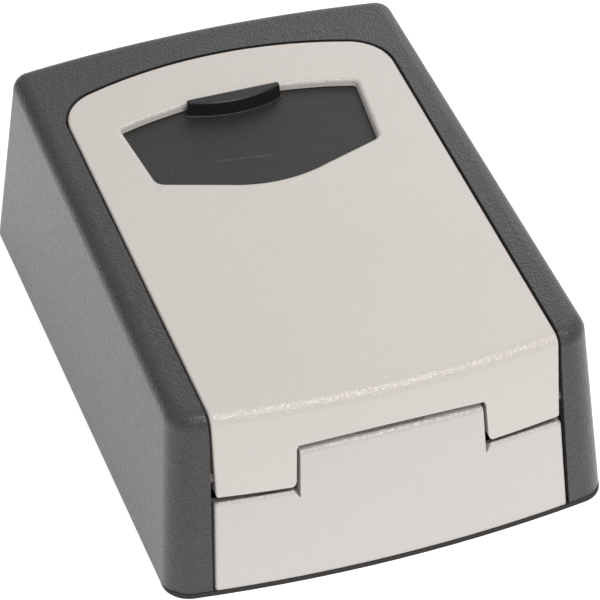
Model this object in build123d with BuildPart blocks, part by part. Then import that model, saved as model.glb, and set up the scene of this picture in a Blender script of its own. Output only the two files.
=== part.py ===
from build123d import *
import math
import os

os.makedirs("parts", exist_ok=True)

# ---------------------------------------------------------------------------
# Small wall-mounted combination key safe, lying on its back.
# +Z is away from the wall, -Y is the hinge end, +Y is the dial end.
# Origin: centre of the back face, z = 0 on the back face.  Millimetres.
# ---------------------------------------------------------------------------

# outer casing
WIDTH = 83.4            # across, at the back
LENGTH = 120.0          # hinge end to dial end, at the back
SIDE_DRAFT = 0.0795     # sides lean in, mm per mm of height
NOSE_DRAFT = 0.1402     # hinge end leans in
TAIL_DRAFT = 0.1900     # dial end leans in
NOSE_ARC_0 = 0.0019     # bow of the hinge end: y += c * x * x at the back
NOSE_ARC_T = 0.0024     # ... and at the top of the loft
TAIL_ARC_0 = 0.0014     # bow of the dial end
TAIL_ARC_T = 0.0021
LOFT_TOP = 48.0
FACE_Z = 39.34          # height of the front face at y = 0
FACE_SLOPE = 0.0535     # the front face rises towards the dial end
NOSE_CORNER_0 = 5.1     # upright corners, at the back and at the top of the loft
NOSE_CORNER_T = 5.4
TAIL_CORNER_0 = 4.9
TAIL_CORNER_T = 3.2
RIM_ROUND = 3.0
PAD_T = 1.0             # rubber pad between casing and wall
PAD_INSET = 1.3         # how far it stands back inside the casing's skirt
SKIRT_Z = 0.1           # lower edge of the skirt along the sides and the dial end
SKIRT_Y = (-51.5, -55.5)  # its sloped front ends, at SKIRT_Z and at PAD_T
FLOOR_TOP = 3.4
CHEEK_X0 = 34.0         # inner face of the cheeks at z = 0
CHEEK_TAPER = 0.045

# door
DOOR_HALF_NOSE = 32.12
DOOR_HALF_TOP = 32.43
DOOR_TOP_V = 42.5
DOOR_TOP_ARC = 0.0063
DOOR_CORNER = 9.0
DOOR_GAP = 0.48
DOOR_GAP_TOP = 0.45
SKIN = 2.4              # thickness of the door's face
NOSE_WALL = 2.6
SIDE_DEPTH = 12.0       # depth of the door's side walls
LIP_Z = 19.75           # lower edge of the door before it is trimmed
LIP_Z_TAB = 20.0        # lower edge of the door beside the tab
LIP_Z_SIDE = 20.4       # and at its sides
KNEE_ROUND = 2.4

# hinge
AX_Y = -52.2
AX_Z = 23.2
PIN_R = 1.25
PIN_FIT = 0.05
NOTCH_HALF = 18.05
NOTCH_Z = 28.2
TAB_HALF = 17.3
TAB_HALF_TOP = 16.8
TAB_R = 5.8             # round top of the tab
ROOF_Y, ROOF_Z = -50.2, 8.0   # axis of the crowned top of the tab
ROOF_R = 20.157
ROOF_R_END = 19.5
NOTCH_R = 6.85          # hollow of the door around it, in the middle
NOTCH_R_END = 6.0       # and at its ends
PANEL_TOP = 19.0
PANEL_HALF_LOW = 33.45
PANEL_HALF_TOP = 32.5

# shutter and window (v is measured along the face, w is square to it)
WIN_TOP_V = 29.9
WIN_TOP_SIDE_V = 26.3
WIN_TOP_X = 23.4
WIN_LOW_X = 21.6
WIN_LOW_SIDE_V = 9.45
WIN_MID_V = 5.15
WIN_LOW_V = 3.55
WIN_ROUND = 0.8
SHUT_TRAVEL = 21.5
SHUT_TOP_W = -1.6
SHUT_T = 1.2
POCKET_W = -1.4         # underside of the face where the shutter slides

# dials
DIAL_V = 21.5
DIAL_W = -10.5
DIAL_R = 7.5
DIAL_WIDE = 5.4
DIAL_PITCH = 7.6
HUB_R = 4.4
CAM_R = 5.7
CAM_T = 1.2
AXLE_R = 1.5
CARRIER_TOP_W = -3.1
CARRIER_T = 1.4

# latch
LATCH_TRAVEL = 2.5
LATCH_W = -9.9
LATCH_T = 1.2
ARM_IN = 19.2
ARM_OUT = 22.5
TIP_V = 42.0

# mechanism cover
COVER_W = -18.4
COVER_T = 1.6

# wall fixing
MOUNT_X = 40.0
MOUNT_Y = 60.0
MOUNT_R = 2.5

FP = Plane(origin=(0, 0, FACE_Z), x_dir=(1, 0, 0), z_dir=(0, -FACE_SLOPE, 1))
UP = FP.z_dir
ALONG = FP.y_dir


def fp_point(x, v, w):
    """A point given on the face frame, in the object's frame."""
    return FP.origin + FP.x_dir * x + FP.y_dir * v + FP.z_dir * w


def nose_y(x, z, shift=0.0):
    c = NOSE_ARC_0 + (NOSE_ARC_T - NOSE_ARC_0) * z / LOFT_TOP
    return -LENGTH / 2 + c * x * x + NOSE_DRAFT * z + shift


def tail_y(x, z):
    c = TAIL_ARC_0 + (TAIL_ARC_T - TAIL_ARC_0) * z / LOFT_TOP
    return LENGTH / 2 - c * x * x - TAIL_DRAFT * z


def casing_outline(z):
    """Plan outline of the casing at height z."""
    hx = WIDTH / 2 - SIDE_DRAFT * z
    with BuildSketch(Plane.XY.offset(z)) as s:
        with BuildLine():
            ThreePointArc((-hx, nose_y(hx, z)), (0, nose_y(0, z)), (hx, nose_y(hx, z)))
            Line((hx, nose_y(hx, z)), (hx, tail_y(hx, z)))
            ThreePointArc((hx, tail_y(hx, z)), (0, tail_y(0, z)), (-hx, tail_y(hx, z)))
            Line((-hx, tail_y(hx, z)), (-hx, nose_y(hx, z)))
        make_face()
        k = z / LOFT_TOP
        fillet([q for q in s.vertices() if q.Y < -20], NOSE_CORNER_0 + (NOSE_CORNER_T - NOSE_CORNER_0) * k)
        fillet([q for q in s.vertices() if q.Y > 20], TAIL_CORNER_0 + (TAIL_CORNER_T - TAIL_CORNER_0) * k)
    return s.sketch


def nose_side(shift=0.0, back=70.0):
    """Everything behind the bowed, leaning surface of the hinge end."""
    zs = (-2.0, LOFT_TOP)
    faces = []
    for z in zs:
        hx = 52.0
        with BuildSketch(Plane.XY.offset(z)) as s:
            with BuildLine():
                ThreePointArc((-hx, nose_y(hx, z, shift)), (0, nose_y(0, z, shift)), (hx, nose_y(hx, z, shift)))
                Line((hx, nose_y(hx, z, shift)), (hx, back))
                Line((hx, back), (-hx, back))
                Line((-hx, back), (-hx, nose_y(hx, z, shift)))
            make_face()
        faces.append(s.sketch.faces()[0])
    with BuildPart() as p:
        loft(faces, ruled=True)
    return p.part


def door_outline(g, w, corner, g_top=None):
    """Door outline grown by g, on the face frame at depth w."""
    hn = DOOR_HALF_NOSE + g
    ht = DOOR_HALF_TOP + g
    top = DOOR_TOP_V + (g if g_top is None else g_top)
    side_v = top - DOOR_TOP_ARC * ht * ht
    with BuildSketch(FP.offset(w)) as s:
        with BuildLine():
            Line((-hn, -74), (-hn, -54))
            Line((-hn, -54), (-ht, side_v))
            ThreePointArc((-ht, side_v), (0, top), (ht, side_v))
            Line((ht, side_v), (hn, -54))
            Line((hn, -54), (hn, -74))
            Line((hn, -74), (-hn, -74))
        make_face()
        fillet([q for q in s.vertices() if q.Y > 20], corner)
    return s.sketch


def window_outline(g, w):
    """Shutter window grown by g."""
    with BuildSketch(FP.offset(w)) as s:
        with BuildLine():
            ThreePointArc((-WIN_TOP_X - g, WIN_TOP_SIDE_V + g), (0, WIN_TOP_V + g), (WIN_TOP_X + g, WIN_TOP_SIDE_V + g))
            Line((WIN_TOP_X + g, WIN_TOP_SIDE_V + g), (WIN_LOW_X + g, WIN_LOW_SIDE_V - g))
            Line((WIN_LOW_X + g, WIN_LOW_SIDE_V - g), (9.0, WIN_MID_V - g))
            ThreePointArc((9.0, WIN_MID_V - g), (0, WIN_LOW_V - g), (-9.0, WIN_MID_V - g))
            Line((-9.0, WIN_MID_V - g), (-WIN_LOW_X - g, WIN_LOW_SIDE_V - g))
            Line((-WIN_LOW_X - g, WIN_LOW_SIDE_V - g), (-WIN_TOP_X - g, WIN_TOP_SIDE_V + g))
        make_face()
        fillet([q for q in s.vertices() if abs(q.X) > 15 and q.Y < 20], 2.0 + g)
        fillet([q for q in s.vertices() if abs(q.X) > 21 and q.Y > 25], 0.9 + g)
    return s.sketch


def rect_on_face(x0, x1, v0, v1, w):
    with BuildSketch(FP.offset(w)) as s:
        with Locations(((x0 + x1) / 2, (v0 + v1) / 2)):
            Rectangle(x1 - x0, v1 - v0)
    return s.sketch


def block(x0, x1, v0, v1, w0, w1):
    """A block on the face frame, w0 is its upper face."""
    with BuildPart() as b:
        extrude(rect_on_face(x0, x1, v0, v1, w0), amount=w1 - w0)
    return b.part


def bar_x(x0, x1, r, y, z):
    """A round bar along X."""
    with BuildPart() as b:
        with BuildSketch(Plane(origin=(x0, y, z), x_dir=(0, 1, 0), z_dir=(1, 0, 0))):
            Circle(r)
        extrude(amount=x1 - x0)
    return b.part


def face_bar_x(x0, x1, r, v, w):
    """A round bar along X whose axis is given on the face frame."""
    c = fp_point(0, v, w)
    return bar_x(x0, x1, r, c.Y, c.Z)


def barrel_x(half, r_mid, r_end, y, z):
    """A barrel along X about an axis through y and z."""
    with BuildPart() as b:
        with BuildSketch(Plane(origin=(0, y, z), x_dir=(1, 0, 0), z_dir=(0, -1, 0))) as prof:
            with BuildLine():
                Line((-half, 0), (-half, r_end))
                ThreePointArc((-half, r_end), (0, r_mid), (half, r_end))
                Line((half, r_end), (half, 0))
                Line((half, 0), (-half, 0))
            make_face()
        revolve(prof.sketch, axis=Axis((0, y, z), (1, 0, 0)))
    return b.part


def skirt_ring(grow):
    """Strip along the sides and the dial end where the casing reaches down beside the pad."""
    with BuildPart() as b:
        with BuildSketch(Plane.YZ.offset(-60)):
            with BuildLine():
                Polyline((SKIRT_Y[0] - grow, -1), (SKIRT_Y[0] - grow, SKIRT_Z), (SKIRT_Y[1] - grow, PAD_T), (75, PAD_T), (75, -1), close=True)
            make_face()
        extrude(amount=120)
        with BuildSketch(Plane.XY.offset(-2)):
            add(casing_outline(0).moved(Location((0, 0, -2))))
            offset(amount=-(PAD_INSET + grow))
        extrude(amount=10, mode=Mode.SUBTRACT)
    return b.part


def lip_corner(x, inward, r, lip_z, deep=17):
    """What is taken off a lower corner of a front wall at x to round it by r."""
    with BuildPart() as b:
        with BuildSketch(Plane.XZ.offset(64)):
            with Locations((x + inward * (r - 1) / 2, lip_z + (r - 1) / 2)):
                Rectangle(r + 1, r + 1)
            with Locations((x + inward * r, lip_z + r)):
                Circle(r, mode=Mode.SUBTRACT)
        extrude(amount=-deep)
    return b.part


AXLE = fp_point(0, DIAL_V, DIAL_W)

# ---------------------------------------------------------------------------
# 1. body_shell: one-piece die-cast casing with floor, walls and front cheeks
# ---------------------------------------------------------------------------
BOSS_V = (2.0, 29.0)
BOSS_X = 28.0
LOW_SCREW_X = 27.2
LOW_SCREW_V = -19.0

with BuildPart() as body_shell:
    loft([casing_outline(0).faces()[0], casing_outline(LOFT_TOP).faces()[0]], ruled=True)
    split(bisect_by=FP, keep=Keep.BOTTOM)
    rim = [e for e in body_shell.edges() if abs(FP.to_local_coords(e @ 0.5).Z) < 0.02]
    fillet(rim, RIM_ROUND)
    # underside: recess for the pad, open at the hinge end
    split(bisect_by=Plane.XY.offset(SKIRT_Z), keep=Keep.TOP)
    with BuildPart(mode=Mode.PRIVATE) as recess:
        Box(120, 160, 2, align=(Align.CENTER, Align.CENTER, Align.CENTER))
        with Locations((0, 0, PAD_T)):
            Box(120, 160, 4, align=(Align.CENTER, Align.CENTER, Align.MIN), mode=Mode.SUBTRACT)
        add(skirt_ring(0.0), mode=Mode.SUBTRACT)
    add(recess.part, mode=Mode.SUBTRACT)
    # opening for the door, straight down to the floor
    with BuildPart(mode=Mode.PRIVATE) as well:
        extrude(door_outline(DOOR_GAP, 6.0, DOOR_CORNER + DOOR_GAP, DOOR_GAP_TOP), amount=-60)
        split(bisect_by=Plane.XY.offset(FLOOR_TOP), keep=Keep.TOP)
    add(well.part, mode=Mode.SUBTRACT)
    # front mouth between the cheeks, wider towards the back
    with BuildPart(mode=Mode.PRIVATE) as mouth:
        with BuildSketch(Plane.XZ.offset(75)):
            with BuildLine():
                Polyline(
                    (-(CHEEK_X0 - CHEEK_TAPER * PAD_T), PAD_T),
                    ((CHEEK_X0 - CHEEK_TAPER * PAD_T), PAD_T),
                    ((CHEEK_X0 - CHEEK_TAPER * 45), 45),
                    (-(CHEEK_X0 - CHEEK_TAPER * 45), 45),
                    close=True,
                )
            make_face()
        extrude(amount=-(75 - 48.5))
    # the floor stays behind the lower panel
    with BuildPart(mode=Mode.PRIVATE) as sill:
        with Locations((0, 0, FLOOR_TOP - 5)):
            Box(120, 200, 10, align=(Align.CENTER, Align.CENTER, Align.CENTER))
        add(nose_side(NOSE_WALL + 0.15), mode=Mode.INTERSECT)
    with BuildPart(mode=Mode.PRIVATE) as mouth_cut:
        add(mouth.part)
        add(sill.part, mode=Mode.SUBTRACT)
    add(mouth_cut.part, mode=Mode.SUBTRACT)
    # rounded lower corners of the cheeks
    for sx in (-1, 1):
        add(lip_corner(sx * (CHEEK_X0 - CHEEK_TAPER * PAD_T), sx, 0.9, PAD_T, 5.5), mode=Mode.SUBTRACT)
    # holes for the hinge pin ends
    add(bar_x(-34.8, 34.8, PIN_R + PIN_FIT, AX_Y, AX_Z), mode=Mode.SUBTRACT)
    # catch pockets for the latch tips in the dial-end wall
    for sx in (-1, 1):
        add(block(min(sx * 18.6, sx * 23.1), max(sx * 18.6, sx * 23.1), 36, TIP_V + 0.8, LATCH_W + 1.0, LATCH_W - LATCH_T - 1.0), mode=Mode.SUBTRACT)
    # four wall-fixing holes
    with Locations(Plane.XY.offset(PAD_T - 1)):
        with GridLocations(MOUNT_X, MOUNT_Y, 2, 2):
            Cylinder(MOUNT_R, 12, align=(Align.CENTER, Align.CENTER, Align.CENTER), mode=Mode.SUBTRACT)
    # countersunk holes for the lower panel's screws, from the back
    for sx in (-1, 1):
        with BuildSketch(Plane(origin=(sx * 22.0, -50.2, 0), x_dir=(1, 0, 0), z_dir=(0, -1, 0))) as cs:
            with BuildLine():
                Polyline((0, PAD_T - 0.01), (3.0, PAD_T - 0.01), (3.0, PAD_T + 0.35), (1.6, PAD_T + 1.75), (1.6, 6), (0, 6), close=True)
            make_face()
        revolve(cs.sketch, axis=Axis((sx * 22.0, -50.2, 0), (0, 0, 1)), mode=Mode.SUBTRACT)
    # tapped hole for the key hook
    with Locations(Location((0, 42.0, 12.0), (-90, 0, 0))):
        Cylinder(1.25, 10, align=(Align.CENTER, Align.CENTER, Align.CENTER), mode=Mode.SUBTRACT)
body_shell.part.label = "body_shell"
export_step(body_shell.part, "parts/body_shell.step")

# ---------------------------------------------------------------------------
# 2. rear_pad: thin solid rubber pad under the casing
# ---------------------------------------------------------------------------
with BuildPart() as rear_pad:
    extrude(casing_outline(0), amount=PAD_T)
    add(skirt_ring(0.05), mode=Mode.SUBTRACT)
    with GridLocations(MOUNT_X, MOUNT_Y, 2, 2):
        Cylinder(MOUNT_R, 10, mode=Mode.SUBTRACT)
rear_pad.part.label = "rear_pad"
export_step(rear_pad.part, "parts/rear_pad.step")

# ---------------------------------------------------------------------------
# 3. lower_panel: fixed panel under the door with the middle hinge knuckle
# ---------------------------------------------------------------------------
with BuildPart() as lower_panel:
    # wall
    with BuildSketch(Plane.XZ.offset(75)):
        with BuildLine():
            Polyline(
                (-PANEL_HALF_LOW, PAD_T + 0.06), (PANEL_HALF_LOW, PAD_T + 0.06),
                (PANEL_HALF_TOP, PANEL_TOP), (-PANEL_HALF_TOP, PANEL_TOP), close=True)
        make_face()
    extrude(amount=-(75 - 45))
    upright = [e for e in lower_panel.edges().filter_by(Axis.Y) if e.center().Z > 15]
    fillet(upright, 0.9)
    add(nose_side(0.0), mode=Mode.INTERSECT)
    add(nose_side(NOSE_WALL), mode=Mode.SUBTRACT)
    # rounded top edge along the joint
    top_edge = [e for e in lower_panel.edges() if abs(e.center().Z - PANEL_TOP) < 0.05 and e.length > 30]
    top_edge = sorted(top_edge, key=lambda e: e.center().Y)[:1]
    fillet(top_edge, 0.7)
    # hollow for the sweep of the door's lips
    for sx in (-1, 1):
        with Locations(Location((sx * 25.0, AX_Y, AX_Z), (0, 90 * sx, 0))):
            Cone(5.9, 4.75, 18.0, align=(Align.CENTER, Align.CENTER, Align.CENTER), mode=Mode.SUBTRACT)
    # foot on the casing floor
    with BuildPart(mode=Mode.PRIVATE) as foot:
        with Locations((0, -53, FLOOR_TOP + 0.05)):
            Box(58, 14, 3.0, align=(Align.CENTER, Align.CENTER, Align.MIN))
        for sx in (-1, 1):
            with Locations((sx * 22.0, -50.2, FLOOR_TOP + 0.05)):
                Cylinder(3.4, 6.0, align=(Align.CENTER, Align.CENTER, Align.MIN))
        add(nose_side(0.8), mode=Mode.INTERSECT)
    add(foot.part)
    for sx in (-1, 1):
        with Locations((sx * 22.0, -50.2, FLOOR_TOP)):
            Cylinder(1.3, 5.0, align=(Align.CENTER, Align.CENTER, Align.MIN), mode=Mode.SUBTRACT)
    # middle tab: leaning sides, top rounded about the hinge pin
    with BuildPart(mode=Mode.PRIVATE) as tab:
        with BuildSketch(Plane.XZ.offset(75)):
            with BuildLine():
                Polyline((-TAB_HALF - 0.1, 14), (TAB_HALF + 0.1, 14), (TAB_HALF, PANEL_TOP), (TAB_HALF_TOP, 31), (-TAB_HALF_TOP, 31), (-TAB_HALF, PANEL_TOP), close=True)
            make_face()
        extrude(amount=-(75 + AX_Y + 3.0))
        add(nose_side(0.0), mode=Mode.INTERSECT)
        with BuildPart(mode=Mode.PRIVATE) as keep:
            add(bar_x(-20, 20, TAB_R, AX_Y, AX_Z))
            with Locations((0, AX_Y - 5.0, 14)):
                Box(40, 16, AX_Z + 2.4 - 14, align=(Align.CENTER, Align.CENTER, Align.MIN))
        add(keep.part, mode=Mode.INTERSECT)
        # top, a little crowned across
        add(barrel_x(17.6, ROOF_R, ROOF_R_END, ROOF_Y, ROOF_Z), mode=Mode.INTERSECT)
        # rounded edge between the tab's front and its top
        brow = [e for e in tab.edges() if e.length > 20 and e.center().Z > AX_Z + 2.8 and e.center().Y < AX_Y - 3.2]
        fillet(brow, 1.0)
        # hollowed back
        with Locations((0, AX_Y + 3.2, 13)):
            Box(27, 9.0, 5.4, align=(Align.CENTER, Align.CENTER, Align.MIN), mode=Mode.SUBTRACT)
        # shallow relief in the middle of the top
        with BuildPart(mode=Mode.PRIVATE) as relief:
            with Locations((0, AX_Y - 3.05, AX_Z + 2.0)):
                Box(12.8, 5.6, 6.0, align=(Align.CENTER, Align.MIN, Align.MIN))
            fillet([e for e in relief.edges().filter_by(Axis.Z) if e.center().Y < AX_Y], 0.9)
            add(bar_x(-10, 10, ROOF_R - 0.4, ROOF_Y, ROOF_Z), mode=Mode.SUBTRACT)
        add(relief.part, mode=Mode.SUBTRACT)
    add(tab.part)
    # narrow cuts on either side of the tab's foot
    for sx in (-1, 1):
        with BuildSketch(Plane.XZ.offset(75)) as foot_cut:
            with BuildLine():
                Polyline((sx * (TAB_HALF + 0.02), PANEL_TOP - 1.3), (sx * (TAB_HALF + 0.3), PANEL_TOP - 1.3), (sx * (TAB_HALF + 0.55), PANEL_TOP - 0.8), (sx * (TAB_HALF + 1.25), PANEL_TOP + 0.2), (sx * (TAB_HALF + 0.02), PANEL_TOP + 0.2), close=True)
            make_face()
        extrude(foot_cut.sketch, amount=-(75 - 45), mode=Mode.SUBTRACT)
    add(bar_x(-20, 20, PIN_R + 0.02, AX_Y, AX_Z), mode=Mode.SUBTRACT)
lower_panel.part.label = "lower_panel"
export_step(lower_panel.part, "parts/lower_panel.step")

# ---------------------------------------------------------------------------
# 4. lower_panel_screws: two countersunk screws from the back
# ---------------------------------------------------------------------------
with BuildPart() as lower_panel_screws:
    for sx in (-1, 1):
        with BuildSketch(Plane(origin=(sx * 22.0, -50.2, 0), x_dir=(1, 0, 0), z_dir=(0, -1, 0))) as prof:
            with BuildLine():
                Polyline((0, PAD_T + 0.02), (2.85, PAD_T + 0.02), (2.85, PAD_T + 0.35), (1.28, PAD_T + 1.9), (1.28, 8.0), (0.9, 8.3), (0, 8.3), close=True)
            make_face()
        revolve(prof.sketch, axis=Axis((sx * 22.0, -50.2, 0), (0, 0, 1)))
        with Locations((sx * 22.0, -50.2, PAD_T)):
            Box(2.8, 0.7, 1.2, align=(Align.CENTER, Align.CENTER, Align.MIN), mode=Mode.SUBTRACT)
            Box(0.7, 2.8, 1.2, align=(Align.CENTER, Align.CENTER, Align.MIN), mode=Mode.SUBTRACT)
lower_panel_screws.part.label = "lower_panel_screws"
export_step(lower_panel_screws.part, "parts/lower_panel_screws.step")

# ---------------------------------------------------------------------------
# 5. hinge_pin
# ---------------------------------------------------------------------------
with BuildPart() as hinge_pin:
    add(bar_x(-34.6, 34.6, PIN_R, AX_Y, AX_Z))
    chamfer([e for e in hinge_pin.edges() if e.geom_type == GeomType.CIRCLE], 0.25)
hinge_pin.part.label = "hinge_pin"
export_step(hinge_pin.part, "parts/hinge_pin.step")

# ---------------------------------------------------------------------------
# 6. door_shell: cast door with its nose, hinge lips, window and end wall
# ---------------------------------------------------------------------------
with BuildPart() as door_shell:
    extrude(door_outline(0.0, 0.0, DOOR_CORNER), amount=-SIDE_DEPTH)
    with BuildPart(mode=Mode.PRIVATE) as nose_block:
        with Locations((0, -62, LIP_Z)):
            Box(2 * DOOR_HALF_NOSE, 30, 30, align=(Align.CENTER, Align.CENTER, Align.MIN))
        split(bisect_by=FP, keep=Keep.BOTTOM)
        with BuildPart(mode=Mode.PRIVATE) as behind:
            with Locations((0, AX_Y + 3.2, 0)):
                Box(200, 60, 100, align=(Align.CENTER, Align.MIN, Align.CENTER))
        add(behind.part, mode=Mode.SUBTRACT)
    add(nose_block.part)
    add(nose_side(0.0), mode=Mode.INTERSECT)
    # knee between face and nose, then the small round along the other edges
    knee = [e for e in door_shell.edges() if abs(FP.to_local_coords(e @ 0.5).Z) < 0.05 and e.center().Y < -50 and e.length > 40]
    fillet(knee, KNEE_ROUND)
    rim = [e for e in door_shell.edges() if abs(FP.to_local_coords(e @ 0.5).Z) < 0.03 and e.center().Y > -52]
    fillet(rim, 0.45)
    # hollow inside
    with BuildPart(mode=Mode.PRIVATE) as inside:
        extrude(door_outline(-SKIN, -SKIN, DOOR_CORNER - SKIN), amount=-40)
        add(nose_side(NOSE_WALL), mode=Mode.INTERSECT)
    add(inside.part, mode=Mode.SUBTRACT)
    # hinge lips with their bosses around the pin
    for sx in (-1, 1):
        xs = sorted((sx * (NOTCH_HALF + 0.0), sx * DOOR_HALF_NOSE))
        with BuildPart(mode=Mode.PRIVATE) as lip:
            add(bar_x(xs[0], xs[1], 2.9, AX_Y, AX_Z))
            with Locations(((xs[0] + xs[1]) / 2, AX_Y - 3.0, LIP_Z)):
                Box(xs[1] - xs[0], 6.0, 5.4, align=(Align.CENTER, Align.CENTER, Align.MIN))
            add(nose_side(0.5), mode=Mode.INTERSECT)
            with BuildPart(mode=Mode.PRIVATE) as sweep_limit:
                add(bar_x(xs[0] - 1, xs[1] + 1, 5.3, AX_Y, AX_Z))
            add(sweep_limit.part, mode=Mode.INTERSECT)
        add(lip.part)
    # notch for the tab of the lower panel
    with BuildPart(mode=Mode.PRIVATE) as notch:
        with BuildSketch(Plane.XZ.offset(75)) as notch_profile:
            with BuildLine():
                Polyline((-NOTCH_HALF, 10), (NOTCH_HALF, 10), (NOTCH_HALF, PANEL_TOP), (NOTCH_HALF - 0.5, NOTCH_Z), (-NOTCH_HALF + 0.5, NOTCH_Z), (-NOTCH_HALF, PANEL_TOP), close=True)
            make_face()
            fillet([q for q in notch_profile.vertices() if abs(q.Y - NOTCH_Z) < 0.01], 0.8)
        extrude(amount=-(75 - 40))
    add(notch.part, mode=Mode.SUBTRACT)
    add(barrel_x(NOTCH_HALF - 0.75, NOTCH_R, NOTCH_R_END, AX_Y, AX_Z), mode=Mode.SUBTRACT)
    # rounded lower corners of the two lips: large beside the tab, small outside
    for sx in (-1, 1):
        # the lip's lower edge rises a little towards the side
        with BuildPart(mode=Mode.PRIVATE) as rise:
            with BuildSketch(Plane.XZ.offset(64)) as rise_profile:
                with BuildLine():
                    Polyline((sx * (NOTCH_HALF - 1), 18), (sx * (DOOR_HALF_NOSE + 1), 18), (sx * (DOOR_HALF_NOSE + 1), LIP_Z_SIDE + 0.03), (sx * (NOTCH_HALF - 1), LIP_Z_TAB - 0.03), close=True)
                make_face()
            extrude(amount=-17)
        add(rise.part, mode=Mode.SUBTRACT)
        add(lip_corner(sx * NOTCH_HALF, sx, 0.9, LIP_Z_TAB), mode=Mode.SUBTRACT)
        add(lip_corner(sx * DOOR_HALF_NOSE, -sx, 0.35, LIP_Z_SIDE), mode=Mode.SUBTRACT)
    add(bar_x(-40, 40, PIN_R + PIN_FIT, AX_Y, AX_Z), mode=Mode.SUBTRACT)
    # bosses that carry the mechanism
    for bx in (-BOSS_X, BOSS_X):
        for bv in BOSS_V:
            with BuildSketch(FP.offset(-SKIN + 0.4)) as bs:
                with Locations((bx, bv)):
                    Circle(1.9)
            extrude(bs.sketch, amount=-(-COVER_W - SKIN + 0.4))
            x0, x1 = sorted((bx, bx / abs(bx) * 30.4))
            add(block(x0, x1, bv - 0.9, bv + 0.9, -SKIN + 0.4, -SIDE_DEPTH))
            with BuildSketch(FP.offset(COVER_W)) as hs:
                with Locations((bx, bv)):
                    Circle(0.95)
            extrude(hs.sketch, amount=7.0, mode=Mode.SUBTRACT)
        lx = math.copysign(LOW_SCREW_X, bx)
        with BuildSketch(FP.offset(-SKIN + 0.4)) as bs:
            with Locations((lx, LOW_SCREW_V)):
                Circle(1.9)
        extrude(bs.sketch, amount=-(-CARRIER_TOP_W - SKIN + 0.4))
        with BuildSketch(FP.offset(CARRIER_TOP_W)) as hs:
            with Locations((lx, LOW_SCREW_V)):
                Circle(0.85)
        extrude(hs.sketch, amount=2.1, mode=Mode.SUBTRACT)
    # pocket under the face in which the shutter slides
    add(block(-25.9, 25.9, -21.0, 32.2, POCKET_W, -SKIN - 1.0), mode=Mode.SUBTRACT)
    # window with leaning edges
    with BuildPart(mode=Mode.PRIVATE) as win:
        loft([window_outline(0.35, 0.02).faces()[0], window_outline(0.0, POCKET_W - 0.2).faces()[0]], ruled=True)
    add(win.part, mode=Mode.SUBTRACT)
    window_edge = [e for e in door_shell.edges() if abs(FP.to_local_coords(e @ 0.5).Z) < 0.02 and abs(FP.to_local_coords(e @ 0.5).X) < 26 and 0 < FP.to_local_coords(e @ 0.5).Y < 33]
    fillet(window_edge, WIN_ROUND)
    # slots in the end wall for the latch tips
    for sx in (-1, 1):
        x0, x1 = sorted((sx * (ARM_IN - 0.25), sx * (ARM_OUT + 0.25)))
        add(block(x0, x1, 33, 46, LATCH_W + 0.25, LATCH_W - LATCH_T - 0.25), mode=Mode.SUBTRACT)
door_shell.part.label = "door_shell"
export_step(door_shell.part, "parts/door_shell.step")

# ---------------------------------------------------------------------------
# 7. shutter: sliding cover over the dials, with its thumb grip
# ---------------------------------------------------------------------------
GRIP_TOP_W = 1.5
GRIP_X = -0.6
with BuildPart() as shutter:
    extrude(rect_on_face(-25.5, 25.5, 1.1, 31.5, SHUT_TOP_W), amount=-SHUT_T)
    corners = [e for e in shutter.edges() if e.length < 2.0 and abs(e.length - SHUT_T) < 0.01]
    fillet(corners, 1.5)
    with BuildPart(mode=Mode.PRIVATE) as grip:
        with BuildSketch(FP.offset(SHUT_TOP_W - 0.4)):
            with BuildLine():
                Line((GRIP_X - 9.45, 28.95), (GRIP_X + 9.45, 28.95))
                Line((GRIP_X + 9.45, 28.95), (GRIP_X + 9.45, 27.6))
                ThreePointArc((GRIP_X + 9.45, 27.6), (GRIP_X, 25.7), (GRIP_X - 9.45, 27.6))
                Line((GRIP_X - 9.45, 27.6), (GRIP_X - 9.45, 28.95))
            make_face()
        with BuildSketch(FP.offset(GRIP_TOP_W)):
            with BuildLine():
                Line((GRIP_X - 9.15, 28.9), (GRIP_X + 9.15, 28.9))
                Line((GRIP_X + 9.15, 28.9), (GRIP_X + 9.15, 28.0))
                ThreePointArc((GRIP_X + 9.15, 28.0), (GRIP_X, 26.0), (GRIP_X - 9.15, 28.0))
                Line((GRIP_X - 9.15, 28.0), (GRIP_X - 9.15, 28.9))
            make_face()
        loft(ruled=True)
        uprights = [e for e in grip.edges() if 2.5 < e.length < 4.0 and abs(FP.to_local_coords(e @ 0.0).Z - FP.to_local_coords(e @ 1.0).Z) > 2.0]
        fillet(uprights, 0.4)
        top_edges = [e for e in grip.edges() if abs(FP.to_local_coords(e @ 0.5).Z - GRIP_TOP_W) < 0.02]
        fillet(top_edges, 0.3)
    # low foot around the grip
    with BuildPart(mode=Mode.PRIVATE) as grip_foot:
        with BuildSketch(FP.offset(SHUT_TOP_W - 0.4)):
            with BuildLine():
                Line((GRIP_X - 9.7, 28.95), (GRIP_X + 9.7, 28.95))
                Line((GRIP_X + 9.7, 28.95), (GRIP_X + 9.7, 27.45))
                ThreePointArc((GRIP_X + 9.7, 27.45), (GRIP_X, 25.45), (GRIP_X - 9.7, 27.45))
                Line((GRIP_X - 9.7, 27.45), (GRIP_X - 9.7, 28.95))
            make_face()
        extrude(amount=0.68)
        foot_edges = [e for e in grip_foot.edges() if abs(FP.to_local_coords(e @ 0.5).Z - (SHUT_TOP_W + 0.28)) < 0.02]
        fillet(foot_edges, 0.2)
    add(grip_foot.part)
    add(grip.part)
shutter.part.label = "shutter"
export_step(shutter.part, "parts/shutter.step")

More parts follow.
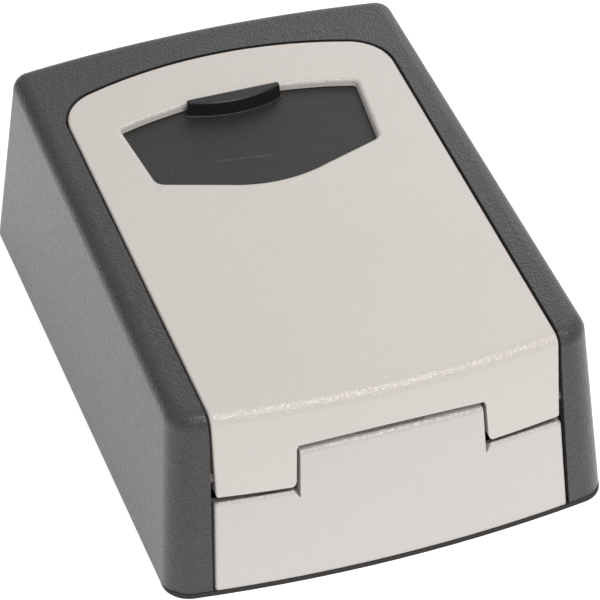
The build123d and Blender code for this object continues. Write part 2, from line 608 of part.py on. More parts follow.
# ---------------------------------------------------------------------------
# 8. dial_carrier: plate under the shutter with dial slots and axle brackets
# ---------------------------------------------------------------------------
dial_x = [(i - 1.5) * DIAL_PITCH for i in range(4)]
with BuildPart() as dial_carrier:
    extrude(rect_on_face(-29.6, 29.6, -21.6, 35.2, CARRIER_TOP_W), amount=-CARRIER_T)
    with BuildPart(mode=Mode.PRIVATE) as room:
        extrude(door_outline(-SKIN - 0.3, 0.0, DOOR_CORNER - SKIN - 0.3), amount=-40)
    add(room.part, mode=Mode.INTERSECT)
    for x in dial_x:
        add(block(x - DIAL_WIDE / 2 - 0.35, x + DIAL_WIDE / 2 + 0.35, DIAL_V - 5.0, DIAL_V + 5.0, 0, -8), mode=Mode.SUBTRACT)
    # slot for the release knob and its stem
    add(block(-6.4, 6.4, 7.6, 16.15, 0, -8), mode=Mode.SUBTRACT)
    # brackets for the axle
    for x0 in (-18.6, 17.0):
        add(block(x0, x0 + 1.6, DIAL_V - 3.4, DIAL_V + 3.4, CARRIER_TOP_W - CARRIER_T + 0.3, DIAL_W - 3.0))
    add(face_bar_x(-19, 19, AXLE_R + 0.05, DIAL_V, DIAL_W), mode=Mode.SUBTRACT)
    # posts that the latch springs push against
    for x in (-12.0, 12.0):
        add(block(x - 2.4, x + 2.4, -1.6, -0.2, CARRIER_TOP_W - CARRIER_T + 0.3, -12.6))
    # holes for the door's bosses and the two screws
    for bx in (-BOSS_X, BOSS_X):
        for bv in BOSS_V:
            with BuildSketch(FP.offset(0)) as hs:
                with Locations((bx, bv)):
                    Circle(2.15)
                with Locations((bx + math.copysign(2.0, bx), bv)):
                    Rectangle(4.0, 2.4)
            extrude(hs.sketch, amount=-10, mode=Mode.SUBTRACT)
        with BuildSketch(FP.offset(0)) as hs:
            with Locations((math.copysign(LOW_SCREW_X, bx), LOW_SCREW_V)):
                Circle(1.05)
        extrude(hs.sketch, amount=-10, mode=Mode.SUBTRACT)
dial_carrier.part.label = "dial_carrier"
export_step(dial_carrier.part, "parts/dial_carrier.step")

# ---------------------------------------------------------------------------
# 9. carrier_screws: two pan-head screws
# ---------------------------------------------------------------------------


def pan_screw(x, v, w_seat, head_r, head_h, shank_r, length):
    """Pan-head screw driven from below: its head hangs under w_seat."""
    c = fp_point(x, v, w_seat)
    base = Plane(origin=c, x_dir=(1, 0, 0), z_dir=UP)
    with BuildPart() as s:
        with BuildSketch(base):
            Circle(shank_r)
        extrude(amount=length)
        with BuildSketch(base):
            Circle(head_r)
        extrude(amount=-head_h)
        low = [e for e in s.edges() if e.geom_type == GeomType.CIRCLE and base.to_local_coords(e.center()).Z < -head_h + 0.01]
        fillet(low, head_h * 0.4)
        with BuildSketch(base.offset(-head_h)):
            Rectangle(head_r * 1.15, head_r * 0.3)
            Rectangle(head_r * 0.3, head_r * 1.15)
        extrude(amount=head_h * 0.55, mode=Mode.SUBTRACT)
    return s.part


with BuildPart() as carrier_screws:
    for x in (-LOW_SCREW_X, LOW_SCREW_X):
        add(pan_screw(x, LOW_SCREW_V, CARRIER_TOP_W - CARRIER_T - 0.02, 1.7, 1.1, 0.8, 3.1))
carrier_screws.part.label = "carrier_screws"
export_step(carrier_screws.part, "parts/carrier_screws.step")

# ---------------------------------------------------------------------------
# 10-13. number_dial_1..4 and 14-17. dial_hub_1..4
# ---------------------------------------------------------------------------
for i, x in enumerate(dial_x):
    with BuildPart() as number_dial:
        with BuildSketch(Plane(origin=(x - DIAL_WIDE / 2, AXLE.Y, AXLE.Z), x_dir=(0, 1, 0), z_dir=(1, 0, 0))) as ds:
            Circle(DIAL_R)
            # ten grip grooves between the ten numbers
            with PolarLocations(DIAL_R + 0.15, 10, start_angle=18 + math.degrees(math.atan(FACE_SLOPE))):
                Circle(0.62, mode=Mode.SUBTRACT)
            Circle(HUB_R + 0.06, mode=Mode.SUBTRACT)
        extrude(amount=DIAL_WIDE)
    number_dial.part.label = f"number_dial_{i + 1}"
    export_step(number_dial.part, f"parts/number_dial_{i + 1}.step")

    with BuildPart() as dial_hub:
        with BuildSketch(Plane(origin=(x - DIAL_WIDE / 2 + 0.9, AXLE.Y, AXLE.Z), x_dir=(0, 1, 0), z_dir=(1, 0, 0))):
            Circle(HUB_R)
        extrude(amount=DIAL_WIDE - 0.9 + 0.05 + CAM_T)
        with BuildSketch(Plane(origin=(x + DIAL_WIDE / 2 + 0.05, AXLE.Y, AXLE.Z), x_dir=(0, 1, 0), z_dir=(1, 0, 0))):
            Circle(CAM_R)
            # gate for the latch tooth
            with Locations((CAM_R - 0.6, 0)):
                Rectangle(2.6, 2.2, mode=Mode.SUBTRACT)
        extrude(amount=CAM_T)
        add(bar_x(-20, 20, AXLE_R + 0.05, AXLE.Y, AXLE.Z), mode=Mode.SUBTRACT)
    dial_hub.part.label = f"dial_hub_{i + 1}"
    export_step(dial_hub.part, f"parts/dial_hub_{i + 1}.step")

# ---------------------------------------------------------------------------
# 18. dial_axle, 19. axle_clip, 20. shift_fork
# ---------------------------------------------------------------------------
SHIFT = 0.8
with BuildPart() as dial_axle:
    add(bar_x(-18.7, 18.0, AXLE_R, AXLE.Y, AXLE.Z))
    # groove for the clip
    with BuildPart(mode=Mode.PRIVATE) as groove:
        add(bar_x(15.55, 16.15, AXLE_R + 1, AXLE.Y, AXLE.Z))
        add(bar_x(15.55, 16.15, AXLE_R - 0.35, AXLE.Y, AXLE.Z), mode=Mode.SUBTRACT)
    add(groove.part, mode=Mode.SUBTRACT)
dial_axle.part.label = "dial_axle"
export_step(dial_axle.part, "parts/dial_axle.step")

with BuildPart() as axle_clip:
    with BuildSketch(Plane(origin=(15.6, AXLE.Y, AXLE.Z), x_dir=(0, 1, 0), z_dir=(1, 0, 0))):
        Circle(3.2)
        Circle(AXLE_R - 0.33, mode=Mode.SUBTRACT)
        with Locations((0, -2.4)):
            Rectangle(1.9, 4.8, mode=Mode.SUBTRACT)
    extrude(amount=0.5)
axle_clip.part.label = "axle_clip"
export_step(axle_clip.part, "parts/axle_clip.step")

with BuildPart() as shift_fork:
    add(block(-16.6, -15.2, DIAL_V - 3.2, DIAL_V + 3.2, DIAL_W + 3.2, DIAL_W - 4.1))
    # tail with a leaning face that the code-change lever pushes
    with BuildPart(mode=Mode.PRIVATE) as tail:
        with BuildSketch(FP.offset(DIAL_W - 4.0)):
            with BuildLine():
                Polyline((-15.2, 20.0), (-15.2, 27.0), (-16.6 - 0.2 * 1.5, 27.0), (-16.6 + 0.2 * 5.5, 20.0), close=True)
            make_face()
        extrude(amount=-3.2)
    add(tail.part)
    add(bar_x(-20, -10, AXLE_R + 0.005, AXLE.Y, AXLE.Z), mode=Mode.SUBTRACT)
shift_fork.part.label = "shift_fork"
export_step(shift_fork.part, "parts/shift_fork.step")

# ---------------------------------------------------------------------------
# 21. code_change_lever: slides along the cover, its wedge moves the fork
# ---------------------------------------------------------------------------
LEVER_TRAVEL = 4.0
with BuildPart() as code_change_lever:
    with BuildSketch(FP.offset(DIAL_W - 4.4)):
        with BuildLine():
            Polyline((-21.5, 20.6), (-21.5, 28.4), (-16.75 - 0.2 * 2.9, 28.4), (-16.75 + 0.2 * 4.9, 20.6), close=True)
        make_face()
    extrude(amount=-3.2)
    add(block(-20.0, -17.8, 22.6, 26.0, DIAL_W - 7.0, COVER_W - COVER_T - 0.35))
    add(block(-21.6, -16.2, 21.6, 27.0, COVER_W - COVER_T - 0.2, COVER_W - COVER_T - 2.0))
code_change_lever.part.label = "code_change_lever"
export_step(code_change_lever.part, "parts/code_change_lever.step")

# ---------------------------------------------------------------------------
# 22. latch_frame, 23. release_knob, 24. latch_springs
# ---------------------------------------------------------------------------
B = LATCH_TRAVEL
with BuildPart() as latch_frame:
    # drawn back by the release knob, as it stands when the door is free to open
    with BuildSketch(FP.offset(LATCH_W)) as lf:
        with BuildLine():
            Polyline(
                (-ARM_OUT, 8.6 - B), (ARM_OUT, 8.6 - B), (ARM_OUT, TIP_V - 0.9 - B), (ARM_OUT - 1.0, TIP_V - B), (ARM_IN + 0.6, TIP_V - B), (ARM_IN, TIP_V - 0.6 - B),
                (ARM_IN, 34.9 - B), (-ARM_IN, 34.9 - B), (-ARM_IN, TIP_V - 0.6 - B), (-ARM_IN - 0.6, TIP_V - B), (-ARM_OUT + 1.0, TIP_V - B), (-ARM_OUT, TIP_V - 0.9 - B), close=True)
        make_face()
        with BuildLine():
            Polyline((-ARM_IN, 13.3 - B), (ARM_IN, 13.3 - B), (ARM_IN, 32.1 - B), (-ARM_IN, 32.1 - B), close=True)
        make_face(mode=Mode.SUBTRACT)
        # one tooth for each cam disc
        for x in dial_x:
            with Locations((x + DIAL_WIDE / 2 + 0.05 + CAM_T / 2, 32.1 - B)):
                Rectangle(1.0, 2.0)
    extrude(amount=-LATCH_T)
latch_frame.part.label = "latch_frame"
export_step(latch_frame.part, "parts/latch_frame.step")

with BuildPart() as release_knob:
    add(block(-6.0, 6.0, 12.6 - B, 15.8 - B, CARRIER_TOP_W - 0.15, -5.2))
    for v in (13.4 - B, 14.2 - B, 15.0 - B):
        add(block(-5.2, 5.2, v - 0.18, v + 0.18, CARRIER_TOP_W - 0.1, CARRIER_TOP_W - 0.5), mode=Mode.SUBTRACT)
    add(block(-6.0, 6.0, 10.4 - B, 13.2 - B, -4.9, LATCH_W + 0.01))
release_knob.part.label = "release_knob"
export_step(release_knob.part, "parts/release_knob.step")


def coil_spring(c):
    """Compression spring that starts at c and runs along the face."""
    base = Plane(origin=c, x_dir=(1, 0, 0), z_dir=ALONG)
    path = base.location * Helix(pitch=1.05, height=5.25, radius=1.5)
    with BuildPart() as coil:
        with BuildSketch(Plane(origin=path @ 0, z_dir=path % 0)):
            Circle(0.22)
        sweep(path=path, is_frenet=True)
    return coil.part


with BuildPart() as latch_springs:
    for x in (-12.0, 12.0):
        add(coil_spring(fp_point(x, 0.3, DIAL_W)))
latch_springs.part.label = "latch_springs"
export_step(latch_springs.part, "parts/latch_springs.step")

# ---------------------------------------------------------------------------
# 25. mechanism_cover, 26. cover_screws
# ---------------------------------------------------------------------------
with BuildPart() as mechanism_cover:
    extrude(rect_on_face(-29.4, 29.4, -3.4, 35.1, COVER_W), amount=-COVER_T)
    with BuildPart(mode=Mode.PRIVATE) as cover_room:
        extrude(door_outline(-SKIN - 0.3, 0.0, DOOR_CORNER - SKIN - 0.3), amount=-40)
    add(cover_room.part, mode=Mode.INTERSECT)
    with BuildPart(mode=Mode.PRIVATE) as walls:
        add(block(-25.6, 25.6, -3.4, 35.1, -4.7, COVER_W))
        add(block(-24.1, 24.1, -1.9, 33.6 + 0.2, -4.6, COVER_W - 0.1), mode=Mode.SUBTRACT)
    add(walls.part)
    # slots for the latch arms
    for sx in (-1, 1):
        x0, x1 = sorted((sx * (ARM_IN - 0.35), sx * (ARM_OUT + 0.35)))
        add(block(x0, x1, 33, 36, LATCH_W + 0.35, LATCH_W - LATCH_T - 0.35), mode=Mode.SUBTRACT)
    # the latch's upper bar passes through the end wall
    add(block(-ARM_OUT - 0.35, ARM_OUT + 0.35, 29.0, 35.4, LATCH_W + 0.35, LATCH_W - LATCH_T - 0.35), mode=Mode.SUBTRACT)
    # slot for the code-change lever
    add(block(-20.3, -17.5, 22.3, 30.4, COVER_W + 0.5, COVER_W - COVER_T - 0.5), mode=Mode.SUBTRACT)
    # screw holes
    for bx in (-BOSS_X, BOSS_X):
        for bv in BOSS_V:
            with BuildSketch(FP.offset(COVER_W + 1)) as hs:
                with Locations((bx, bv)):
                    Circle(1.15)
            extrude(hs.sketch, amount=-5, mode=Mode.SUBTRACT)
mechanism_cover.part.label = "mechanism_cover"
export_step(mechanism_cover.part, "parts/mechanism_cover.step")

with BuildPart() as cover_screws:
    for bx in (-BOSS_X, BOSS_X):
        for bv in BOSS_V:
            add(pan_screw(bx, bv, COVER_W - COVER_T - 0.02, 1.8, 1.2, 0.9, 6.5))
cover_screws.part.label = "cover_screws"
export_step(cover_screws.part, "parts/cover_screws.step")

# ---------------------------------------------------------------------------
# 27. dial_detent_spring: leaf spring, one finger under each dial
# ---------------------------------------------------------------------------
SIDE = Plane(origin=FP.origin, x_dir=ALONG, z_dir=(1, 0, 0))   # local x = v, local y = w
with BuildPart() as dial_detent_spring:
    for x in dial_x:
        with BuildSketch(SIDE.offset(x - 1.8)):
            with BuildLine():
                Polyline(
                    (6.0, -18.12), (11.5, -18.12), (14.5, -16.15), (15.9, -15.95), (15.9, -16.2), (14.6, -16.4), (11.6, -18.37), (6.0, -18.37), close=True)
            make_face()
        extrude(amount=3.6)
    add(block(-14.4, 14.4, 4.0, 7.6, -18.12, -18.38))
dial_detent_spring.part.label = "dial_detent_spring"
export_step(dial_detent_spring.part, "parts/dial_detent_spring.step")

# ---------------------------------------------------------------------------
# 28. key_hook: cup hook screwed into the dial-end wall of the compartment
# ---------------------------------------------------------------------------
with BuildPart() as key_hook:
    with BuildLine() as hp:
        l1 = Line((0, 46.6, 12.0), (0, 38.0, 12.0))
        l2 = ThreePointArc((0, 38.0, 12.0), (0, 36.16, 11.24), (0, 35.4, 9.4))
        l3 = Line((0, 35.4, 9.4), (0, 35.4, 8.2))
    with BuildSketch(Plane(origin=(0, 46.6, 12.0), z_dir=(0, -1, 0))):
        Circle(1.2)
    sweep()
    with BuildSketch(Plane(origin=(0, 41.2, 12.0), z_dir=(0, -1, 0))):
        Circle(2.4)
    extrude(amount=0.8)
key_hook.part.label = "key_hook"
export_step(key_hook.part, "parts/key_hook.step")
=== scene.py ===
import math

import bmesh
import bpy
from mathutils import Matrix, Vector


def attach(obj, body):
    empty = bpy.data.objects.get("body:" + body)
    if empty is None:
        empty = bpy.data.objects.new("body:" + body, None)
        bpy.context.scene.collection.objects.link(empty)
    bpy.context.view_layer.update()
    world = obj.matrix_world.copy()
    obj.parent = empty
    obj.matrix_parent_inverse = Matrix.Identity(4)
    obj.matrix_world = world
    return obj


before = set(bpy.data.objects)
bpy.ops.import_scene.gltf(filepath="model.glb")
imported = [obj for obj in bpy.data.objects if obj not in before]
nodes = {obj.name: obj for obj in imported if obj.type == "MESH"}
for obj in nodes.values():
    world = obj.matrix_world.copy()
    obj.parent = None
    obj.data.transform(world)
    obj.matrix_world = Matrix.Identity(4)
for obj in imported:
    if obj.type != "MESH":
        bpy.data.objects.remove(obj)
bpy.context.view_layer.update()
scene = bpy.context.scene

MM = 0.001

# ---------------------------------------------------------------------------
# The door's face, as a frame of its own: x across, v along the face towards
# the dial end, w square to it.
# ---------------------------------------------------------------------------
FACE_Z = 39.34
SLOPE = 0.0535
_n = math.hypot(1.0, SLOPE)
ALONG = Vector((0.0, 1.0 / _n, SLOPE / _n))
UP = Vector((0.0, -SLOPE / _n, 1.0 / _n))


def face(x, v, w):
    """A point in metres from millimetres on the face frame."""
    return (Vector((x, 0.0, FACE_Z)) + ALONG * v + UP * w) * MM


# ---------------------------------------------------------------------------
# Camera: a long lens, above and to the left of the hinge end
# ---------------------------------------------------------------------------
az, el, roll = math.radians(-19.6738), math.radians(39.4288), math.radians(0.0793)
back = Vector((math.sin(az) * math.cos(el), -math.cos(az) * math.cos(el), math.sin(el)))
right = (-back).cross(Vector((0, 0, 1))).normalized()
up = right.cross(-back).normalized()
r2 = right * math.cos(roll) + up * math.sin(roll)
u2 = up * math.cos(roll) - right * math.sin(roll)
eye = Vector((0.0, -21.13, 15.0)) + back * 605.6857 + r2 * -4.485 + u2 * 11.23
cam_data = bpy.data.cameras.new("camera")
cam_data.lens = 198.0
cam_data.sensor_width = 36.0
cam_data.clip_start = 0.01
cam_data.clip_end = 20.0
camera = bpy.data.objects.new("camera", cam_data)
scene.collection.objects.link(camera)
m = Matrix.Identity(4)
for i, axis in enumerate((r2, u2, back)):
    for j in range(3):
        m[j][i] = axis[j]
for j in range(3):
    m[j][3] = eye[j] * MM
camera.matrix_world = m
scene.camera = camera

scene.view_settings.view_transform = "Standard"
scene.view_settings.look = "None"


# ---------------------------------------------------------------------------
# Node helpers
# ---------------------------------------------------------------------------
class Mat:
    """A small writer of node materials."""

    def __init__(self, name, color, rough, metallic=0.0, ior=1.5, specular=0.5):
        self.m = bpy.data.materials.new(name)
        self.m.use_nodes = True
        self.t = self.m.node_tree
        self.t.nodes.clear()
        self.out = self.t.nodes.new("ShaderNodeOutputMaterial")
        self.b = self.t.nodes.new("ShaderNodeBsdfPrincipled")
        self.t.links.new(self.b.outputs["BSDF"], self.out.inputs["Surface"])
        self.b.inputs["Base Color"].default_value = (*color, 1.0)
        self.b.inputs["Roughness"].default_value = rough
        self.b.inputs["Metallic"].default_value = metallic
        self.b.inputs["IOR"].default_value = ior
        self.b.inputs["Specular IOR Level"].default_value = specular
        tc = self.t.nodes.new("ShaderNodeTexCoord")
        self.pos = tc.outputs["Object"]
        self.normal = tc.outputs["Normal"]

    def node(self, kind, **values):
        n = self.t.nodes.new(kind)
        for k, v in values.items():
            setattr(n, k, v)
        return n

    def link(self, a, b):
        self.t.links.new(a, b)

    def scaled(self, s):
        """Object coordinates scaled by s = (x, y, z)."""
        n = self.node("ShaderNodeMapping")
        n.inputs["Scale"].default_value = s
        self.link(self.pos, n.inputs["Vector"])
        return n.outputs["Vector"]

    def placed(self, origin, x_axis, y_axis, z_axis):
        """Coordinates in millimetres on a frame of its own."""
        out = self.node("ShaderNodeCombineXYZ")
        sub = self.node("ShaderNodeVectorMath", operation="SUBTRACT")
        self.link(self.pos, sub.inputs[0])
        sub.inputs[1].default_value = origin
        for k, axis in enumerate((x_axis, y_axis, z_axis)):
            d = self.node("ShaderNodeVectorMath", operation="DOT_PRODUCT")
            self.link(sub.outputs["Vector"], d.inputs[0])
            d.inputs[1].default_value = Vector(axis) * 1000.0
            self.link(d.outputs["Value"], out.inputs[k])
        return out.outputs["Vector"]

    def noise(self, scale, detail=2.0, rough=0.5, vector=None, distortion=0.0):
        n = self.node("ShaderNodeTexNoise")
        n.inputs["Scale"].default_value = scale
        n.inputs["Detail"].default_value = detail
        n.inputs["Roughness"].default_value = rough
        n.inputs["Distortion"].default_value = distortion
        self.link(vector if vector is not None else self.pos, n.inputs["Vector"])
        return n.outputs["Fac"]

    def voronoi(self, scale, feature="F1", smooth=None, vector=None, randomness=1.0):
        n = self.node("ShaderNodeTexVoronoi", feature=feature)
        n.inputs["Scale"].default_value = scale
        n.inputs["Randomness"].default_value = randomness
        if smooth is not None:
            n.inputs["Smoothness"].default_value = smooth
        self.link(vector if vector is not None else self.pos, n.inputs["Vector"])
        return n.outputs["Distance"]

    def ramp(self, fac, stops):
        n = self.node("ShaderNodeValToRGB")
        e = n.color_ramp.elements
        while len(e) > 1:
            e.remove(e[-1])
        e[0].position, e[0].color = stops[0][0], self._rgba(stops[0][1])
        for p, c in stops[1:]:
            k = e.new(p)
            k.color = self._rgba(c)
        self.link(fac, n.inputs["Fac"])
        return n.outputs["Color"]

    @staticmethod
    def _rgba(c):
        return (c, c, c, 1.0) if isinstance(c, (int, float)) else (*c, 1.0)

    def math(self, op, a, b=None, c=None, clamp=False):
        n = self.node("ShaderNodeMath", operation=op)
        n.use_clamp = clamp
        for k, v in enumerate((a, b, c)):
            if v is None:
                continue
            if isinstance(v, (int, float)):
                n.inputs[k].default_value = v
            else:
                self.link(v, n.inputs[k])
        return n.outputs["Value"]

    def maprange(self, v, a, b, c, d, smooth=False):
        n = self.node("ShaderNodeMapRange")
        n.interpolation_type = "SMOOTHSTEP" if smooth else "LINEAR"
        self.link(v, n.inputs["Value"])
        n.inputs["From Min"].default_value = a
        n.inputs["From Max"].default_value = b
        n.inputs["To Min"].default_value = c
        n.inputs["To Max"].default_value = d
        return n.outputs["Result"]

    def mix(self, fac, a, b, blend="MIX"):
        n = self.node("ShaderNodeMix", data_type="RGBA", blend_type=blend)
        if isinstance(fac, (int, float)):
            n.inputs[0].default_value = fac
        else:
            self.link(fac, n.inputs[0])
        for k, v in ((6, a), (7, b)):
            if isinstance(v, tuple):
                n.inputs[k].default_value = (*v, 1.0)
            else:
                self.link(v, n.inputs[k])
        return n.outputs[2]

    def xyz(self, vector=None):
        n = self.node("ShaderNodeSeparateXYZ")
        self.link(vector if vector is not None else self.pos, n.inputs[0])
        return n.outputs

    def color(self, socket):
        self.link(socket, self.b.inputs["Base Color"])

    def rough(self, socket):
        self.link(socket, self.b.inputs["Roughness"])

    def bump(self, height, distance, strength=1.0, after=None):
        n = self.node("ShaderNodeBump")
        n.inputs["Strength"].default_value = strength
        n.inputs["Distance"].default_value = distance
        self.link(height, n.inputs["Height"])
        if after is not None:
            self.link(after, n.inputs["Normal"])
        self.link(n.outputs["Normal"], self.b.inputs["Normal"])
        return n.outputs["Normal"]


def give(material, *names):
    for name in names:
        me = nodes[name].data
        me.materials.clear()
        me.materials.append(material)


# ---------------------------------------------------------------------------
# Materials
# ---------------------------------------------------------------------------
def coat_material():
    """Dark grey satin powder coat with a fine leathery skin over the casting."""
    k = Mat("case_coat", (0.043, 0.043, 0.045), 0.4)
    warp = k.noise(420.0, 2.0, 0.5)
    cells = k.voronoi(2500.0, "SMOOTH_F1", 0.5)
    fine = k.noise(2700.0, 3.0, 0.6)
    mid = k.noise(1250.0, 2.0, 0.5)
    h = k.math("ADD", k.math("MULTIPLY", cells, 0.6), k.math("MULTIPLY", fine, 0.6))
    h = k.math("ADD", h, k.math("MULTIPLY", mid, 0.35))
    n1 = k.bump(h, 0.00016, 0.8)
    # long, shallow unevenness of the casting
    k.bump(warp, 0.00006, 0.25, after=n1)
    # colour: cloudy, a little lighter on the grain's tops
    cloud = k.noise(38.0, 3.0, 0.55)
    grain = k.noise(2000.0, 2.0, 0.6)
    c = k.mix(k.maprange(cloud, 0.3, 0.7, 0.0, 1.0), (0.0255, 0.0255, 0.0265), (0.0325, 0.0325, 0.034))
    c = k.mix(k.maprange(grain, 0.34, 0.68, 0.0, 1.0), c, (0.053, 0.053, 0.055))
    # a few pale specks and scuffs
    speck = k.voronoi(95.0)
    c = k.mix(k.maprange(speck, 0.018, 0.026, 0.45, 0.0), c, (0.26, 0.26, 0.26))
    # painted shade: the walls that face inwards, round the door's gaps, and the end wall of the opening are coloured
    # near black to stand for the shade in the gaps; they are also made rougher
    pos, nrm = k.xyz(), k.xyz(k.normal)
    side = k.math("MULTIPLY", nrm["X"], k.math("SIGN", pos["X"]))
    gap_wall_shade = k.maprange(side, -0.95, -0.80, 1.0, 0.0, smooth=True)
    end_wall_shade = k.math("MULTIPLY", k.maprange(nrm["Y"], -0.95, -0.80, 1.0, 0.0, smooth=True), k.maprange(pos["Y"], 0.034, 0.036, 0.0, 1.0))
    gap_wall_shade = k.math("MAXIMUM", gap_wall_shade, end_wall_shade)
    # painted shade colour for the gap walls
    c = k.mix(gap_wall_shade, c, (0.012, 0.011, 0.011))
    k.color(c)
    k.rough(k.math("ADD", k.maprange(k.noise(1500.0, 2.0, 0.6), 0.3, 0.7, 0.27, 0.38), k.math("MULTIPLY", gap_wall_shade, 0.4)))
    k.b.inputs["Sheen Weight"].default_value = 0.12
    k.b.inputs["Sheen Roughness"].default_value = 0.4
    return k.m


def beige_material(name, seed, top=(0.594, 0.552, 0.524)):
    """Satin light beige paint with fine orange peel and tiny flecks."""
    k = Mat(name, top, 0.42, specular=1.0)
    shift = k.node("ShaderNodeMapping")
    shift.inputs["Location"].default_value = (seed, seed * 0.7, seed * 0.3)
    k.link(k.pos, shift.inputs["Vector"])
    v = shift.outputs["Vector"]
    peel = k.noise(620.0, 2.0, 0.5, vector=v)
    fine = k.noise(1800.0, 2.0, 0.6, vector=v)
    grit = k.noise(4200.0, 1.0, 0.5, vector=v)
    h = k.math("ADD", peel, k.math("MULTIPLY", fine, 0.6))
    n1 = k.bump(h, 0.00005, 0.35)
    n2 = k.bump(grit, 0.00007, 0.8, after=n1)
    # the paint gathers in coarser grains on rounded edges
    nz = k.xyz(k.normal)["Z"]
    edge = k.math("MULTIPLY", k.maprange(nz, 0.93, 0.985, 1.0, 0.0, smooth=True), k.maprange(nz, 0.22, 0.38, 0.0, 1.0, smooth=True))
    grains = k.math("SUBTRACT", k.noise(2500.0, 1.0, 0.5, vector=v), 0.5)
    k.bump(k.math("MULTIPLY", grains, edge), 0.00015, 1.0, after=n2)
    cloud = k.noise(24.0, 3.0, 0.6, vector=v)
    c = k.mix(k.maprange(cloud, 0.3, 0.7, 0.0, 1.0), tuple(x * 0.985 for x in top), tuple(min(1.0, x * 1.015) for x in top))
    c = k.mix(k.maprange(fine, 0.35, 0.7, 0.0, 0.12), c, tuple(x * 0.9 for x in top))
    speck = k.voronoi(52.0, vector=v)
    c = k.mix(k.maprange(speck, 0.008, 0.014, 0.6, 0.0), c, (0.25, 0.22, 0.20))
    k.color(c)
    k.rough(k.math("SUBTRACT", k.maprange(k.noise(700.0, 2.0, 0.6, vector=v), 0.3, 0.7, 0.31, 0.40), k.math("MULTIPLY", edge, 0.07)))
    return k.m


def shutter_material():
    """Matt black moulding: fine spark-eroded skin, rubbed marks where a thumb slides it."""
    k = Mat("shutter_plastic", (0.06, 0.06, 0.06), 0.5)
    v = k.placed(face(0, 0, 0), (1, 0, 0), ALONG, UP)
    xs = k.xyz(v)
    fine = k.noise(2600.0, 2.0, 0.6)
    k.bump(fine, 0.00003, 0.35)
    grip = (0.011, 0.011, 0.012)
    # the grip and its foot are a glossier, darker black
    on_grip = k.maprange(xs["Z"], -1.45, -1.15, 0.0, 1.0)
    c = k.mix(k.maprange(k.noise(300.0, 3.0, 0.6), 0.3, 0.7, 0.0, 1.0), (0.0115, 0.0115, 0.0115), (0.0160, 0.0160, 0.0160))
    c = k.mix(k.maprange(k.noise(2900.0, 2.0, 0.7), 0.35, 0.75, 0.0, 0.8), c, (0.027, 0.027, 0.027))
    # thin pale rub marks in a row, low on the plate
    streak = k.node("ShaderNodeMapping")
    streak.inputs["Scale"].default_value = (0.25, 1.0, 1.0)
    streak.inputs["Rotation"].default_value = (0.0, 0.0, math.radians(8.6))
    k.link(v, streak.inputs["Vector"])
    marks = k.noise(6.5, 3.0, 0.75, vector=streak.outputs["Vector"])
    line = k.math("ADD", xs["Y"], k.math("MULTIPLY", xs["X"], 0.151))
    row = k.math("SUBTRACT", 1.0, k.math("ABSOLUTE", k.math("MULTIPLY", k.math("SUBTRACT", line, 12.2), 3.4)), clamp=True)
    wide = k.math("SUBTRACT", 1.0, k.math("ABSOLUTE", k.math("MULTIPLY", k.math("SUBTRACT", xs["X"], -3.4), 0.17)), clamp=True)
    fac = k.math("MULTIPLY", k.math("MULTIPLY", k.maprange(row, 0.0, 0.5, 0.0, 1.0), k.maprange(wide, 0.0, 0.3, 0.0, 1.0)), k.maprange(marks, 0.50, 0.60, 0.0, 1.0))
    c = k.mix(k.math("MULTIPLY", fac, 0.6), c, (0.19, 0.18, 0.17))
    speck = k.voronoi(210.0)
    c = k.mix(k.maprange(speck, 0.03, 0.045, 0.35, 0.0), c, (0.16, 0.16, 0.16))
    c = k.mix(on_grip, c, grip)
    k.color(c)
    k.rough(k.maprange(on_grip, 0.0, 1.0, 0.52, 0.27))
    return k.m


def plastic_material(name, color, rough=0.45):
    k = Mat(name, color, rough)
    fine = k.noise(1900.0, 2.0, 0.6)
    k.bump(fine, 0.00003, 0.4)
    c = k.mix(k.maprange(k.noise(60.0, 3.0, 0.6), 0.3, 0.7, 0.0, 1.0), tuple(x * 0.85 for x in color), tuple(min(1.0, x * 1.15) for x in color))
    k.color(c)
    k.rough(k.maprange(k.noise(420.0, 3.0, 0.6), 0.3, 0.7, rough - 0.07, rough + 0.08))
    return k.m


def rubber_material():
    k = Mat("pad_rubber", (0.018, 0.018, 0.018), 0.8)
    fine = k.noise(1500.0, 3.0, 0.7)
    k.bump(fine, 0.00005, 0.6)
    c = k.mix(k.maprange(fine, 0.3, 0.7, 0.0, 1.0), (0.013, 0.012, 0.012), (0.026, 0.024, 0.024))
    k.color(c)
    k.rough(k.maprange(fine, 0.3, 0.7, 0.72, 0.9))
    return k.m


def steel_material(name, color=(0.62, 0.61, 0.59), rough=0.28, along=(1, 0, 0)):
    """Metal with fine drawn lines along one direction and a few dull patches."""
    k = Mat(name, color, rough, metallic=1.0)
    s = tuple(120.0 if a else 2600.0 for a in along)
    lines = k.noise(1.0, 3.0, 0.6, vector=k.scaled(s))
    k.bump(lines, 0.00002, 0.25)
    dull = k.noise(160.0, 3.0, 0.6)
    c = k.mix(k.maprange(dull, 0.35, 0.7, 0.0, 1.0), color, tuple(x * 0.72 for x in color))
    k.color(c)
    k.rough(k.math("ADD", k.maprange(lines, 0.3, 0.7, rough - 0.06, rough + 0.06), k.maprange(dull, 0.4, 0.7, 0.0, 0.14)))
    return k.m


coat = coat_material()
beige = beige_material("beige_paint", 0.0)
beige_low = beige_material("beige_paint_panel", 3.7, (0.560, 0.528, 0.507))
shut = shutter_material()
rubber = rubber_material()
black = plastic_material("black_plastic", (0.040, 0.040, 0.042), 0.48)
dial_black = plastic_material("dial_plastic", (0.022, 0.022, 0.024), 0.36)
grey = plastic_material("grey_plastic", (0.30, 0.30, 0.31), 0.42)
zinc = steel_material("steel_zinc", (0.60, 0.61, 0.60), 0.34, (0, 1, 0))
bright = steel_material("steel_bright", (0.66, 0.65, 0.63), 0.22, (1, 0, 0))
pin = steel_material("pin_steel", (0.30, 0.27, 0.25), 0.42, (1, 0, 0))
brass = steel_material("brass_turned", (0.68, 0.50, 0.24), 0.30, (1, 0, 0))

